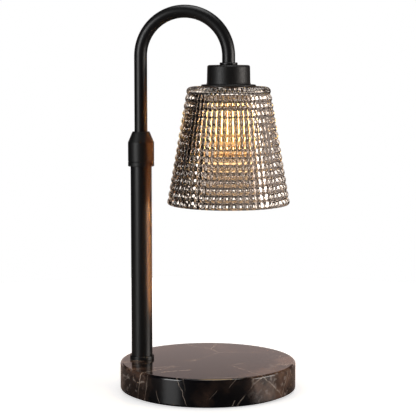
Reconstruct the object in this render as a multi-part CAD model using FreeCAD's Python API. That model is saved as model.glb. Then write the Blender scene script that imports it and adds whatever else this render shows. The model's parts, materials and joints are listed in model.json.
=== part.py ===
"""Candle warmer lamp: stone base, telescopic pole, gooseneck arm and pressed-glass shade.

Millimetres. +Z is up, the origin is the centre of the base's underside, the pole stands
towards -X and the arm reaches towards +X. One STEP file is written for each sub-part.
"""
import FreeCAD, Part

import math
import os

from FreeCAD import Vector

UP = Vector(0, 0, 1)

# ---------------------------------------------------------------- fits shared by several pieces
press_gap = 0.05             # radial, pieces pressed, glued or screwed into each other
running_gap = 0.05           # radial, piece that turns or slides in its guide
free_gap = 0.3               # radial, moving pieces that must not touch
screw_gap = 0.1              # radial, screw thread in a plain hole or nut

# ---------------------------------------------------------------- base
base_diameter = 150.0
marble_thickness = 22.8
marble_top_ease = 2.0
marble_bottom_ease = 1.0
pad_thickness = 1.5
pad_inset = 4.0              # edge of the pad inside the edge of the stone
pole_edge_distance = 17.5    # pole axis to the rim of the base
pocket_margin = 1.5          # pocket wall outside the washer
pocket_depth = 14.0
channel_width = 16.0
channel_depth = 8.5
channel_reach = 31.5         # pole axis to the centre of the channel's round end

# ---------------------------------------------------------------- cord gland in the rim
gland_height = 8.5           # bore axis above the underside of the base
gland_bore = 5.4
gland_wall = 1.25
gland_flange_width = 2.0
gland_flange_thickness = 1.2
gland_recess = 1.4           # depth of the flange seat below the rim
gland_seat_gap = 0.3
gland_tail = 1.5             # end of the gland inside the pocket

# ---------------------------------------------------------------- telescope
tube_diameter = 11.0
tube_wall = 1.0
collet_wall = 1.45
ferrule_wall = 1.4
thread_step = 0.55           # ferrule thread inside the outside of the pole
pole_wall = 1.4
pole_length = 172.7
travel_up = 25.0
travel_down = 60.0
stop_gap = 0.4               # guide bush to ferrule at the top of the travel
bend_margin = 3.8            # straight tube left above the collar at the bottom of the travel
bush_length = 11.6
bush_gap = 0.1               # radial, guide bush in the pole
bush_lip = 1.0               # tube below the bush

# ---------------------------------------------------------------- foot of the pole
foot_ring_overhang = 1.4     # ring outside the pole
foot_ring_height = 3.0
foot_ring_web = 1.0          # stone to the end of the pole
foot_ring_ease = 0.7
plug_length = 14.0
stud_diameter = 10.0
stud_wall = 1.5
stud_cover = 2.0             # top of the stud below the top of the plug
stud_tail = 1.5              # stud below its nut
washer_diameter = 22.0
washer_thickness = 1.5
lock_washer_width = 2.4
lock_washer_thickness = 1.0
nut_flats = 14.0
nut_thickness = 4.0
thin_nut_thickness = 3.5

# ---------------------------------------------------------------- lock collar, ferrule and collet
collar_skirt_wall = 1.8
collar_skirt_overlap = 7.3   # collar below the top of the pole
collar_height = 29.4
collar_cylinder_height = 20.3
collar_top_wall = 1.5
collar_groove_height = 4.0
collar_groove_depth = 0.35
collar_ease = 0.4
collar_step_gap = 0.5        # end of the pole to the collar's inner step
ferrule_insert = 14.0
ferrule_thread_length = 11.0
ferrule_ledge = 1.0          # seat of the collet above the end of the pole
collet_cone_height = 7.0
collet_cone_inset = 1.2      # top of the cone inside its foot
collet_slots = 4
collet_slot_width = 1.2
collet_slot_floor = 4.0      # unslotted part of the collet

# ---------------------------------------------------------------- gooseneck and neck
bend_radius = 37.5
leg_drop = 7.4               # bend to the end of the short leg
neck_ring_wall = 2.0
neck_ring_height = 2.2
neck_ring_ease = 0.5
nipple_insert = 7.0
nipple_wall = 1.8
nipple_tail = 1.0            # nipple below the bracket's nut
head_lock_washer_thickness = 0.8

# ---------------------------------------------------------------- socket cup
cup_wall = 1.2
cup_height = 17.5
cup_draft = 0.3              # foot of the cup outside its top
cup_top_ease = 1.1
cup_flare_radius = 23.0
cup_flange_thickness = 1.2
cup_flare_height = 3.3       # start of the flare above the flange's underside
cup_flare_step = 0.5
cup_flare_ease = 1.6

# ---------------------------------------------------------------- lamp holder and bracket
holder_diameter = 27.0
holder_height = 12.5
holder_ease = 0.6
bracket_strip = 1.2
bracket_plate = 1.5
bracket_width = 15.0
bracket_trim = 0.4           # round corners of the strip inside the shade ring
bracket_drop = 9.0           # top of the bracket to the top of the lamp holder
bracket_inset = 0.9          # outside of the arms inside the lamp holder
bracket_foot = 5.4
bracket_bend = 1.4
holder_screw_diameter = 3.0
holder_screw_inset = 4.9     # screw axis inside the edge of the lamp holder
holder_screw_head = 5.5
holder_screw_head_height = 2.0
holder_screw_head_seat = 2.6
holder_screw_tail = 1.6
contact_strip = 0.4
contact_width = 2.4
contact_half_length = 2.2
contact_drop = 1.8

# ---------------------------------------------------------------- twist-lock bulb
pin_spacing = 10.0
pin_diameter = 2.8
pin_head_diameter = 5.0
pin_head_height = 3.2
pin_anchor = 3.0
pin_gap = 0.3
lock_ledge = 3.0
lock_cavity = 5.5
release_angle = -20.0
bulb_diameter = 50.0
bulb_length = 46.2
bulb_neck_diameter = 22.0
bulb_neck_flats = 15.0
bulb_neck_height = 5.7
bulb_spigot = 4.5
bulb_spigot_step = 0.6
bulb_glass = 1.2
bulb_rim_height = 2.5
bulb_shoulder_inset = 2.2
bulb_shoulder_height = 19.0
bulb_shoulder_radius = 60.0
lens_thickness = 1.8
lens_seat = 0.9
lens_ease = 0.8
capsule_diameter = 9.2
capsule_length = 30.0
capsule_seat = 4.0

# ---------------------------------------------------------------- shade and its clamp
ring_thread_wall = 2.45
ring_holder_gap = 0.7
ring_thread_gap = 0.1
ring_thread_length = 14.3
ring_flange_width = 5.35
ring_flange_thickness = 2.0
ring_notches = 12
ring_notch_radius = 1.1
gasket_thickness = 0.8
upper_gasket_thickness = 0.5
gasket_inset = 0.5
shade_hole_gap = 0.65
shade_top_diameter = 69.8
shade_bottom_diameter = 104.6
shade_height = 99.3
shade_wall = 3.9             # at the crest of a bead
shade_roof = 4.0
shade_top_ease = 1.5
shade_rings = 16             # rows of beads
shade_ribs = 58              # beads in a row
shade_ring_relief = 1.1      # crest of a bead over the level grooves
shade_rib_relief = 1.9       # and over the upright grooves at the rim; it tapers with the cone
shade_shoulder = 0.9         # extra drop of the last groove, under the roof's edge

# ---------------------------------------------------------------- wiring
wire_diameter = 2.2
wire_offset = 1.6            # wire axis from the tube's axis, one on each side
wire_bend = 6.0
wire_reach = 19.5            # pole axis to the connectors
connector_diameter = 5.6
connector_length = 15.0
connector_offset = 2.9
connector_dome = 1.5
coil_gap = 1.4               # radial, slack coil in the pole
coil_end_gap = 3.0           # slack coil below the tube

# ---------------------------------------------------------------- places worked out from the sizes
base_radius = base_diameter / 2
pole_x = pole_edge_distance - base_radius
head_x = pole_x + 2 * bend_radius

tube_radius = tube_diameter / 2
tube_bore_radius = tube_radius - tube_wall
collet_radius = tube_radius + running_gap + collet_wall
ferrule_seat_radius = collet_radius + running_gap
thread_radius = ferrule_seat_radius + ferrule_wall
pole_radius = thread_radius + thread_step
pole_bore_radius = pole_radius - pole_wall
collar_radius = pole_radius + free_gap + collar_skirt_wall

z_stone = pad_thickness
z_base_top = z_stone + marble_thickness
z_pole_foot = z_base_top + foot_ring_web
z_plug_top = z_pole_foot + plug_length
z_pole_top = z_pole_foot + pole_length
z_collar = z_pole_top - collar_skirt_overlap
z_collar_top = z_collar + collar_height
z_ferrule = z_pole_top - ferrule_insert
z_ferrule_top = z_pole_top + ferrule_thread_length
z_collet = z_pole_top + ferrule_ledge
z_bend = z_collar_top + travel_down + bend_margin
z_bush_top = z_ferrule - travel_up - stop_gap
z_bush = z_bush_top - bush_length
z_tube_end = z_bush - bush_lip

z_pocket_roof = z_stone + pocket_depth
z_washer = z_pocket_roof - washer_thickness
z_lock_washer = z_washer - lock_washer_thickness
z_pole_nut = z_lock_washer - nut_thickness
z_stud = z_pole_nut - stud_tail
z_stud_top = z_plug_top - stud_cover
stud_radius = stud_diameter / 2
stud_bore_radius = stud_radius - stud_wall
pocket_radius = washer_diameter / 2 + pocket_margin

z_cup_top = z_bend - leg_drop
z_flange = z_cup_top - cup_height
z_glass_top = z_flange - upper_gasket_thickness
z_rim = z_glass_top - shade_height
z_roof_under = z_glass_top - shade_roof
z_ring_flange = z_roof_under - gasket_thickness
z_head_washer = z_cup_top - cup_wall - head_lock_washer_thickness
z_head_nut = z_head_washer - thin_nut_thickness
z_bracket_under = z_head_nut - bracket_plate
z_bracket_nut = z_bracket_under - thin_nut_thickness
z_nipple = z_bracket_nut - nipple_tail
z_holder_top = z_head_nut - bracket_drop
z_holder = z_holder_top - holder_height
z_lock_ledge = z_holder + lock_ledge
z_lock_roof = z_lock_ledge + lock_cavity
z_bulb_top = z_holder - pin_gap
z_bulb_shoulder = z_bulb_top - bulb_neck_height
z_bulb_face = z_bulb_top - bulb_length

nipple_radius = stud_radius
nipple_spigot_radius = tube_bore_radius - press_gap
nipple_bore_radius = nipple_radius - nipple_wall
holder_radius = holder_diameter / 2
ring_bore_radius = holder_radius + ring_holder_gap
ring_thread_radius = ring_bore_radius + ring_thread_wall
ring_flange_radius = ring_thread_radius + ring_flange_width
cup_bore_radius = ring_thread_radius + ring_thread_gap
cup_radius = cup_bore_radius + cup_wall
shade_hole_radius = ring_thread_radius + shade_hole_gap


# ---------------------------------------------------------------- helpers
def round_corner(before, here, after, radius):
    """Start, middle and end of the arc that rounds a corner, or the bare corner."""
    if radius <= 0:
        return here, None, here
    to_before = (before - here).normalize()
    to_after = (after - here).normalize()
    half = to_before.getAngle(to_after) / 2
    reach = radius / math.tan(half)
    centre = here + (to_before + to_after).normalize() * (radius / math.sin(half))
    middle = centre + (here - centre).normalize() * radius
    return here + to_before * reach, middle, here + to_after * reach


def outline(points):
    """Closed wire in the XZ plane from (x, z) points; a third number rounds that corner."""
    places = [Vector(point[0], 0, point[1]) for point in points]
    corners = []
    for index, point in enumerate(points):
        radius = point[2] if len(point) > 2 else 0
        after = places[(index + 1) % len(points)]
        corners.append(round_corner(places[index - 1], places[index], after, radius))
    edges = []
    for index, (start, middle, end) in enumerate(corners):
        if middle is not None:
            edges.append(Part.Arc(start, middle, end).toShape())
        following = corners[(index + 1) % len(corners)][0]
        if end.distanceToPoint(following) > 1e-6:
            edges.append(Part.LineSegment(end, following).toShape())
    return Part.Wire(edges)


def turned(points, axis_x):
    """Solid of revolution of (radius, z) points about the vertical line at axis_x."""
    solid = Part.Face(outline(points)).revolve(Vector(0, 0, 0), UP, 360)
    solid.translate(Vector(axis_x, 0, 0))
    return solid


def tube(outer_radius, inner_radius, z_low, z_high, axis_x):
    """Plain round tube or washer."""
    return turned([(inner_radius, z_low), (outer_radius, z_low), (outer_radius, z_high),
                   (inner_radius, z_high)], axis_x)


def rod(radius, z_low, z_high, axis_x, y=0.0):
    """Upright cylinder."""
    return Part.makeCylinder(radius, z_high - z_low, Vector(axis_x, y, z_low), UP)


def hex_nut(z_low, thickness, axis_x):
    """Hexagon nut for the stud thread, chamfered top and bottom, flats facing X."""
    corner = nut_flats / math.sqrt(3)
    points = []
    for side in range(7):
        angle = math.radians(30 + 60 * side)
        points.append(Vector(axis_x + corner * math.cos(angle), corner * math.sin(angle), z_low))
    prism = Part.Face(Part.makePolygon(points)).extrude(UP * thickness)
    slope = (corner - nut_flats / 2) / math.sqrt(3)
    z_high = z_low + thickness
    chamfer = turned([(0, z_low), (nut_flats / 2, z_low), (corner, z_low + slope),
                      (corner, z_high - slope), (nut_flats / 2, z_high), (0, z_high)], axis_x)
    return prism.common(chamfer).cut(rod(stud_radius + screw_gap, z_low, z_high, axis_x))


def swept(edges, radius):
    """Round bar of the given radius along a tangent path."""
    path = Part.Wire([edge.toShape() for edge in edges])
    start = path.OrderedVertexes[0].Point
    direction = path.OrderedEdges[0].tangentAt(path.OrderedEdges[0].FirstParameter)
    if path.OrderedEdges[0].Orientation == "Reversed":
        direction = direction * -1
    section = Part.Wire(Part.Circle(start, direction, radius).toShape())
    return path.makePipeShell([section], True, True)


def arc_slot(track_radius, half_width, angle_from, angle_to, z_low, z_high, axis_x):
    """Slot with round ends that follows a circle about the upright axis."""
    height = z_high - z_low
    foot = Vector(axis_x, 0, z_low)
    span = angle_to - angle_from
    sector = Part.makeCylinder(track_radius + half_width, height, foot, UP, span)
    core = Part.makeCylinder(track_radius - half_width, height, foot, UP, span)
    slot = sector.cut(core)
    slot.rotate(foot, UP, angle_from)
    for angle in (angle_from, angle_to):
        turn = math.radians(angle)
        end_x = axis_x + track_radius * math.cos(turn)
        slot = slot.fuse(rod(half_width, z_low, z_high, end_x, track_radius * math.sin(turn)))
    return slot


def both_sides(make):
    """The same piece made on the +Y and the -Y side, as one group."""
    return Part.makeCompound([make(1), make(-1)])


# ---------------------------------------------------------------- base
def gland_hole(radius, x_from, x_to):
    """Cylinder along X on the gland's axis."""
    return Part.makeCylinder(radius, x_to - x_from, Vector(x_from, 0, gland_height), Vector(1, 0, 0))


gland_radius = gland_bore / 2 + gland_wall
gland_seat_x = gland_recess - base_radius


def marble_base():
    """Stone disc with eased edges, stud hole, nut pocket, wiring channel and gland seat."""
    stone = turned([(0, z_stone), (base_radius, z_stone, marble_bottom_ease),
                    (base_radius, z_base_top, marble_top_ease), (0, z_base_top)], 0)
    stone = stone.cut(rod(stud_radius + free_gap, z_stone, z_base_top, pole_x))
    stone = stone.cut(rod(pocket_radius, z_stone, z_pocket_roof, pole_x))
    channel = Part.makeBox(channel_reach, channel_width, channel_depth,
                           Vector(pole_x, -channel_width / 2, z_stone))
    channel_end = rod(channel_width / 2, z_stone, z_stone + channel_depth, pole_x + channel_reach)
    stone = stone.cut(channel.fuse(channel_end))
    stone = stone.cut(gland_hole(gland_radius + press_gap, -base_radius, pole_x))
    seat_radius = gland_radius + gland_flange_width + gland_seat_gap
    return stone.cut(gland_hole(seat_radius, -base_radius, gland_seat_x))


def base_pad():
    """Foam disc under the stone."""
    return rod(base_radius - pad_inset, 0, z_stone, 0)


def cord_gland():
    """Push-in bush whose flange lies in the seat in the rim."""
    flange_x = gland_seat_x - gland_flange_thickness
    tail_x = pole_x - pocket_radius + gland_tail
    gland = gland_hole(gland_radius, gland_seat_x, tail_x)
    gland = gland.fuse(gland_hole(gland_radius + gland_flange_width, flange_x, gland_seat_x))
    return gland.cut(gland_hole(gland_bore / 2, flange_x, tail_x))


# ---------------------------------------------------------------- pole and its fixing
def pole_foot_ring():
    """Trim ring with a web under the end of the pole."""
    seat_radius = pole_radius + screw_gap
    ring_radius = pole_radius + foot_ring_overhang
    z_top = z_base_top + foot_ring_height
    return turned([(stud_radius + free_gap, z_base_top), (ring_radius, z_base_top),
                   (ring_radius, z_top, foot_ring_ease), (seat_radius, z_top),
                   (seat_radius, z_pole_foot), (stud_radius + free_gap, z_pole_foot)], pole_x)


def lower_pole():
    return tube(pole_radius, pole_bore_radius, z_pole_foot, z_pole_top, pole_x)


def pole_bottom_plug():
    return tube(pole_bore_radius - press_gap, stud_radius + screw_gap, z_pole_foot, z_plug_top, pole_x)


def pole_stud():
    return tube(stud_radius, stud_bore_radius, z_stud, z_stud_top, pole_x)


def pole_washer():
    return tube(washer_diameter / 2, stud_radius + free_gap, z_washer, z_pocket_roof, pole_x)


def pole_lock_washer():
    inner = stud_radius + screw_gap
    return tube(inner + lock_washer_width, inner, z_lock_washer, z_washer, pole_x)


def pole_nut():
    return hex_nut(z_pole_nut, nut_thickness, pole_x)


# ---------------------------------------------------------------- lock collar
def collar_ferrule():
    """Insert pressed into the pole, with the collar's thread and the collet's seat above it."""
    insert_radius = pole_bore_radius - press_gap
    guide_radius = tube_radius + free_gap
    return turned([(guide_radius, z_ferrule), (insert_radius, z_ferrule),
                   (insert_radius, z_pole_top), (thread_radius, z_pole_top),
                   (thread_radius, z_ferrule_top), (ferrule_seat_radius, z_ferrule_top),
                   (ferrule_seat_radius, z_collet), (guide_radius, z_collet)], pole_x)


def clamp_collet():
    """Split collet: a sleeve in the ferrule and a cone that the collar presses on."""
    bore_radius = tube_radius + running_gap
    cone_radius = thread_radius - free_gap
    z_top = z_ferrule_top + collet_cone_height
    collet = turned([(bore_radius, z_collet), (collet_radius, z_collet),
                     (collet_radius, z_ferrule_top), (cone_radius, z_ferrule_top),
                     (cone_radius - collet_cone_inset, z_top), (bore_radius, z_top)], pole_x)
    z_floor = z_collet + collet_slot_floor
    for index in range(collet_slots):
        slot = Part.makeBox(cone_radius, collet_slot_width, z_top - z_floor,
                            Vector(pole_x, -collet_slot_width / 2, z_floor))
        slot.rotate(Vector(pole_x, 0, 0), UP, (index + 0.5) * 360 / collet_slots)
        collet = collet.cut(slot)
    return collet


def lock_collar():
    """Nut with a skirt over the pole, a thread, an inner cone and a tapered top."""
    skirt_radius = pole_radius + free_gap
    nut_radius = thread_radius + screw_gap
    guide_radius = tube_radius + free_gap
    z_step = z_pole_top + collar_step_gap
    z_cone_top = z_ferrule_top + collet_cone_height + free_gap
    z_groove = z_collar + collar_groove_height
    z_shoulder = z_collar + collar_cylinder_height
    cone_top_radius = nut_radius - collet_cone_inset
    return turned([(skirt_radius, z_collar), (collar_radius, z_collar, collar_ease),
                   (collar_radius, z_groove - collar_groove_depth),
                   (collar_radius - collar_groove_depth, z_groove),
                   (collar_radius, z_groove + collar_groove_depth),
                   (collar_radius, z_shoulder, collar_ease),
                   (guide_radius + collar_top_wall, z_collar_top, collar_ease),
                   (guide_radius, z_collar_top), (guide_radius, z_cone_top),
                   (cone_top_radius, z_cone_top), (nut_radius, z_ferrule_top),
                   (nut_radius, z_step), (skirt_radius, z_step)], pole_x)


# ---------------------------------------------------------------- arm
def guide_bush():
    return tube(pole_bore_radius - bush_gap, tube_radius + press_gap, z_bush, z_bush_top, pole_x)


def arm_path(z_start, z_end, y=0.0):
    """Up the upper tube, round the half-circle bend and down the short leg."""
    low = Vector(pole_x, y, z_start)
    left = Vector(pole_x, y, z_bend)
    crown = Vector(pole_x + bend_radius, y, z_bend + bend_radius)
    right = Vector(head_x, y, z_bend)
    return [Part.LineSegment(low, left), Part.Arc(left, crown, right),
            Part.LineSegment(right, Vector(head_x, y, z_end))]


def gooseneck():
    path = arm_path(z_tube_end, z_cup_top)
    return swept(path, tube_radius).cut(swept(path, tube_bore_radius))


def neck_ring():
    inner = tube_radius + press_gap
    z_top = z_cup_top + neck_ring_height
    return turned([(inner, z_cup_top), (inner + neck_ring_wall, z_cup_top, neck_ring_ease),
                   (inner + neck_ring_wall, z_top, neck_ring_ease), (inner, z_top)], head_x)


def head_nipple():
    """Spigot fixed in the tube's end, with the thread that the cup and bracket hang from."""
    return turned([(nipple_bore_radius, z_nipple), (nipple_radius, z_nipple),
                   (nipple_radius, z_cup_top), (nipple_spigot_radius, z_cup_top),
                   (nipple_spigot_radius, z_cup_top + nipple_insert),
                   (nipple_bore_radius, z_cup_top + nipple_insert)], head_x)


def head_lock_washer():
    inner = nipple_radius + screw_gap
    return tube(inner + lock_washer_width, inner, z_head_washer, z_cup_top - cup_wall, head_x)


def head_nut():
    return hex_nut(z_head_nut, thin_nut_thickness, head_x)


def bracket_nut():
    return hex_nut(z_bracket_nut, thin_nut_thickness, head_x)


def socket_cup():
    """Spun cup: flat top, slight draft, flare and thin flange on the shade."""
    z_inside = z_cup_top - cup_wall
    z_flange_top = z_flange + cup_flange_thickness
    z_flare = z_flange + cup_flare_height
    flare_radius = cup_radius + cup_draft
    return turned([(nipple_radius + screw_gap, z_inside), (cup_bore_radius, z_inside, cup_top_ease / 2),
                   (cup_bore_radius, z_flange), (cup_flare_radius, z_flange),
                   (cup_flare_radius, z_flange_top),
                   (flare_radius + cup_flare_step, z_flange_top, cup_flare_ease),
                   (flare_radius, z_flare), (cup_radius, z_cup_top, cup_top_ease),
                   (nipple_radius + screw_gap, z_cup_top)], head_x)


# ---------------------------------------------------------------- lamp holder
bracket_half = holder_radius - bracket_inset
holder_screw_x = holder_radius - holder_screw_inset
pin_track = pin_spacing / 2


def holder_bracket():
    """Bent strip: plate on the nipple, two arms and two feet on the lamp holder."""
    inner = bracket_half - bracket_strip
    z_foot = z_holder_top + bracket_strip
    foot_end = bracket_half - bracket_foot
    right = [(bracket_half, z_head_nut, bracket_bend), (bracket_half, z_holder_top, bracket_bend),
             (foot_end, z_holder_top), (foot_end, z_foot), (inner, z_foot), (inner, z_bracket_under)]
    left = [(-point[0],) + point[1:] for point in reversed(right)]
    strip = Part.Face(outline(right + left)).extrude(Vector(0, bracket_width, 0))
    strip.translate(Vector(head_x, -bracket_width / 2, 0))
    strip = strip.common(rod(ring_bore_radius - bracket_trim, z_holder_top, z_head_nut, head_x))
    strip = strip.cut(rod(nipple_radius + screw_gap, z_bracket_under, z_head_nut, head_x))
    for side in (-1, 1):
        hole_x = head_x + side * holder_screw_x
        strip = strip.cut(rod(holder_screw_diameter / 2 + press_gap, z_holder_top, z_foot, hole_x))
    return strip


def key_track(half_width, z_low, z_high, side):
    """Twist track of one pin; the pin stands on the +Y or -Y side when locked."""
    locked = 90 * side
    return arc_slot(pin_track, half_width, locked + release_angle, locked, z_low, z_high, head_x)


def lamp_holder():
    """Ceramic body with two keyhole tracks, screw holes and wire holes."""
    body = turned([(0, z_holder), (holder_radius, z_holder, holder_ease),
                   (holder_radius, z_holder_top, holder_ease), (0, z_holder_top)], head_x)
    head_half = pin_head_diameter / 2 + pin_gap
    for side in (-1, 1):
        body = body.cut(key_track(head_half, z_lock_ledge, z_lock_roof, side))
        body = body.cut(key_track(pin_diameter / 2 + pin_gap, z_holder, z_lock_ledge, side))
        entry = math.radians(90 * side + release_angle)
        body = body.cut(rod(head_half, z_holder, z_lock_ledge,
                            head_x + pin_track * math.cos(entry), pin_track * math.sin(entry)))
        screw_x = head_x + side * holder_screw_x
        seat_radius = holder_screw_head / 2 + screw_gap
        body = body.cut(rod(holder_screw_diameter / 2 + screw_gap, z_holder, z_holder_top, screw_x))
        body = body.cut(rod(seat_radius, z_holder, z_holder + holder_screw_head_seat, screw_x))
    return body


def holder_contacts():
    """Two folded leaf springs on the roofs of the tracks, above the pin heads."""
    def leaf(side):
        z_bend_line = z_lock_roof - contact_strip
        z_tip = z_lock_roof - contact_drop
        strip = Part.Face(outline([(-contact_half_length, z_lock_roof), (contact_half_length, z_lock_roof),
                                   (contact_half_length, z_bend_line),
                                   (-contact_half_length + contact_strip, z_bend_line),
                                   (contact_half_length - contact_strip, z_tip + contact_strip),
                                   (contact_half_length - contact_strip, z_tip),
                                   (-contact_half_length, z_bend_line)]))
        strip = strip.extrude(Vector(0, contact_width, 0))
        strip.translate(Vector(head_x, side * pin_track - contact_width / 2, 0))
        return strip
    return both_sides(leaf)


def holder_screws():
    """Two pan-head screws up through the lamp holder into the bracket's feet."""
    def screw(side):
        screw_x = head_x + side * holder_screw_x
        z_seat = z_holder + holder_screw_head_seat
        z_tip = z_holder_top + bracket_strip + holder_screw_tail
        head = rod(holder_screw_head / 2, z_seat - holder_screw_head_height, z_seat, screw_x)
        return head.fuse(rod(holder_screw_diameter / 2, z_seat, z_tip, screw_x))
    return both_sides(screw)


# ---------------------------------------------------------------- bulb
bulb_neck_radius = bulb_neck_diameter / 2
spigot_radius = bulb_neck_radius - bulb_spigot_step
bulb_radius = bulb_diameter / 2


def bulb_base():
    """Ceramic neck with two flats, a spigot in the reflector and the capsule's seat."""
    z_spigot = z_bulb_shoulder - bulb_spigot
    neck = rod(bulb_neck_radius, z_bulb_shoulder, z_bulb_top, head_x)
    block = Part.makeBox(bulb_neck_flats, bulb_neck_diameter, bulb_neck_height,
                         Vector(head_x - bulb_neck_flats / 2, -bulb_neck_radius, z_bulb_shoulder))
    neck = neck.common(block).fuse(rod(spigot_radius, z_spigot, z_bulb_shoulder, head_x))
    neck = neck.cut(rod(capsule_diameter / 2 + press_gap, z_spigot, z_spigot + capsule_seat, head_x))
    for side in (-1, 1):
        neck = neck.cut(rod(pin_diameter / 2 + press_gap, z_bulb_top - pin_anchor, z_bulb_top,
                            head_x, side * pin_track))
    return neck


def bulb_pins():
    """Two headed pins; the heads stand on the ledges of the lamp holder's tracks."""
    def pin(side):
        y = side * pin_track
        shank = rod(pin_diameter / 2, z_bulb_top - pin_anchor, z_lock_ledge, head_x, y)
        return shank.fuse(rod(pin_head_diameter / 2, z_lock_ledge, z_lock_ledge + pin_head_height,
                              head_x, y))
    return both_sides(pin)


def bulb_reflector():
    """Flared glass bowl with a rebate for the front lens."""
    z_seat = z_bulb_face + lens_thickness
    z_rim_top = z_bulb_face + bulb_rim_height
    z_bulge = z_bulb_face + bulb_shoulder_height
    bulge_radius = bulb_radius - bulb_shoulder_inset
    neck_bore = spigot_radius + press_gap
    return turned([(bulb_radius, z_bulb_face), (bulb_radius, z_rim_top),
                   (bulge_radius, z_bulge, bulb_shoulder_radius),
                   (neck_bore + bulb_glass, z_bulb_shoulder), (neck_bore, z_bulb_shoulder),
                   (neck_bore, z_bulb_shoulder - bulb_glass),
                   (bulge_radius - bulb_glass, z_bulge, bulb_shoulder_radius - bulb_glass),
                   (bulb_radius - bulb_glass - lens_seat, z_rim_top),
                   (bulb_radius - bulb_glass - lens_seat, z_seat),
                   (bulb_radius - bulb_glass + lens_seat / 2, z_seat),
                   (bulb_radius - bulb_glass + lens_seat / 2, z_bulb_face)], head_x)


def bulb_lens():
    """Front glass seated in the reflector's rebate."""
    lens_radius = bulb_radius - bulb_glass + lens_seat / 2 - press_gap
    z_seat = z_bulb_face + lens_thickness
    return turned([(0, z_bulb_face), (lens_radius, z_bulb_face, lens_ease), (lens_radius, z_seat),
                   (0, z_seat)], head_x)


def halogen_capsule():
    """Quartz capsule with a round tip, seated in the ceramic neck."""
    radius = capsule_diameter / 2
    z_top = z_bulb_shoulder - bulb_spigot + capsule_seat
    z_tip = z_top - capsule_length
    body = rod(radius, z_tip + radius, z_top, head_x)
    return body.fuse(Part.makeSphere(radius, Vector(head_x, 0, z_tip + radius)))


# ---------------------------------------------------------------- shade
def shade_radius(z):
    """Radius of the shade's outer cone at a height."""
    share = (z - z_rim) / shade_height
    return (shade_bottom_diameter + share * (shade_top_diameter - shade_bottom_diameter)) / 2


def beaded_ring(radius, z):
    """Closed level outline that steps in at each upright groove."""
    points = []
    for index in range(2 * shade_ribs):
        angle = math.pi * index / shade_ribs
        reach = radius
        if index % 2:
            reach *= 1 - shade_rib_relief / (shade_bottom_diameter / 2)
        points.append(Vector(reach * math.cos(angle), reach * math.sin(angle), z))
    return points + points[:1]


def beaded_cone():
    """Solid cone covered in low four-sided beads; all its facets are flat."""
    levels = []
    for index in range(2 * shade_rings + 1):
        z = z_rim + index * shade_height / (2 * shade_rings)
        radius = shade_radius(z)
        if index % 2 == 0:
            radius -= shade_ring_relief
        levels.append(beaded_ring(radius, z))
    levels[-1] = beaded_ring(shade_radius(z_glass_top) - shade_ring_relief - shade_shoulder, z_glass_top)
    faces = [Part.Face(Part.makePolygon(levels[0])), Part.Face(Part.makePolygon(levels[-1]))]
    for lower, upper in zip(levels, levels[1:]):
        for side in range(2 * shade_ribs):
            corners = [lower[side], lower[side + 1], upper[side + 1], upper[side], lower[side]]
            faces.append(Part.Face(Part.makePolygon(corners)))
    return Part.makeSolid(Part.makeShell(faces))


def glass_shade():
    """Pressed glass cone: beaded outside, smooth inside, flat roof with the clamp hole."""
    inner_rim = shade_radius(z_rim) - shade_wall
    inner_top = shade_radius(z_roof_under) - shade_wall
    hollow = turned([(0, z_rim), (inner_rim, z_rim), (inner_top, z_roof_under, shade_top_ease),
                     (0, z_roof_under)], 0)
    shade = beaded_cone().cut(hollow).cut(rod(shade_hole_radius, z_roof_under, z_glass_top, 0))
    shade.translate(Vector(head_x, 0, 0))
    return shade


def upper_gasket():
    inner = shade_hole_radius + gasket_inset
    return tube(cup_flare_radius - gasket_inset, inner, z_glass_top, z_flange, head_x)


def lower_gasket():
    inner = shade_hole_radius + gasket_inset
    return tube(ring_flange_radius - gasket_inset, inner, z_ring_flange, z_roof_under, head_x)


def shade_ring():
    """Threaded ring up into the cup; its notched flange clamps the glass."""
    z_low = z_ring_flange - ring_flange_thickness
    z_top = z_ring_flange + ring_thread_length
    ring = turned([(ring_bore_radius, z_low), (ring_flange_radius, z_low),
                   (ring_flange_radius, z_ring_flange), (ring_thread_radius, z_ring_flange),
                   (ring_thread_radius, z_top), (ring_bore_radius, z_top)], head_x)
    for index in range(ring_notches):
        angle = math.radians(360 * index / ring_notches)
        notch = rod(ring_notch_radius, z_low, z_ring_flange,
                    head_x + ring_flange_radius * math.cos(angle),
                    ring_flange_radius * math.sin(angle))
        ring = ring.cut(notch)
    return ring


# ---------------------------------------------------------------- wiring
z_connector = z_stone + connector_diameter / 2
z_coil = z_stud_top + coil_end_gap
z_coil_top = z_tube_end - coil_end_gap


def base_lead():
    """Two wires from the connectors, round the bend under the stud and up to the slack coil."""
    def wire(side):
        y = side * wire_offset
        top = Vector(pole_x, y, z_coil)
        bend_start = Vector(pole_x, y, z_connector + wire_bend)
        turn = wire_bend * (1 - math.sqrt(0.5))
        bend_middle = Vector(pole_x + turn, y, z_connector + turn)
        bend_end = Vector(pole_x + wire_bend, y, z_connector)
        end = Vector(pole_x + wire_reach, y, z_connector)
        return swept([Part.LineSegment(top, bend_start), Part.Arc(bend_start, bend_middle, bend_end),
                      Part.LineSegment(bend_end, end)], wire_diameter / 2)
    return both_sides(wire)


def wire_connectors():
    """Two closed-end connectors lying on the pad in the channel."""
    radius = connector_diameter / 2

    def connector(side):
        solid = Part.Face(outline([(0, 0), (radius, 0), (radius, connector_length, connector_dome),
                                   (0, connector_length)])).revolve(Vector(0, 0, 0), UP, 360)
        solid.rotate(Vector(0, 0, 0), Vector(0, 1, 0), 90)
        solid.translate(Vector(pole_x + wire_reach, side * connector_offset, z_connector))
        return solid
    return both_sides(connector)


def slack_lead():
    """Outer shape of the coiled slack that lets the arm rise and sink."""
    return rod(pole_bore_radius - coil_gap, z_coil, z_coil_top, pole_x)


def arm_lead():
    """Two wires from the slack coil through the gooseneck to the lamp holder."""
    def wire(side):
        return swept(arm_path(z_coil_top, z_holder_top, side * wire_offset), wire_diameter / 2)
    return both_sides(wire)


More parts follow.
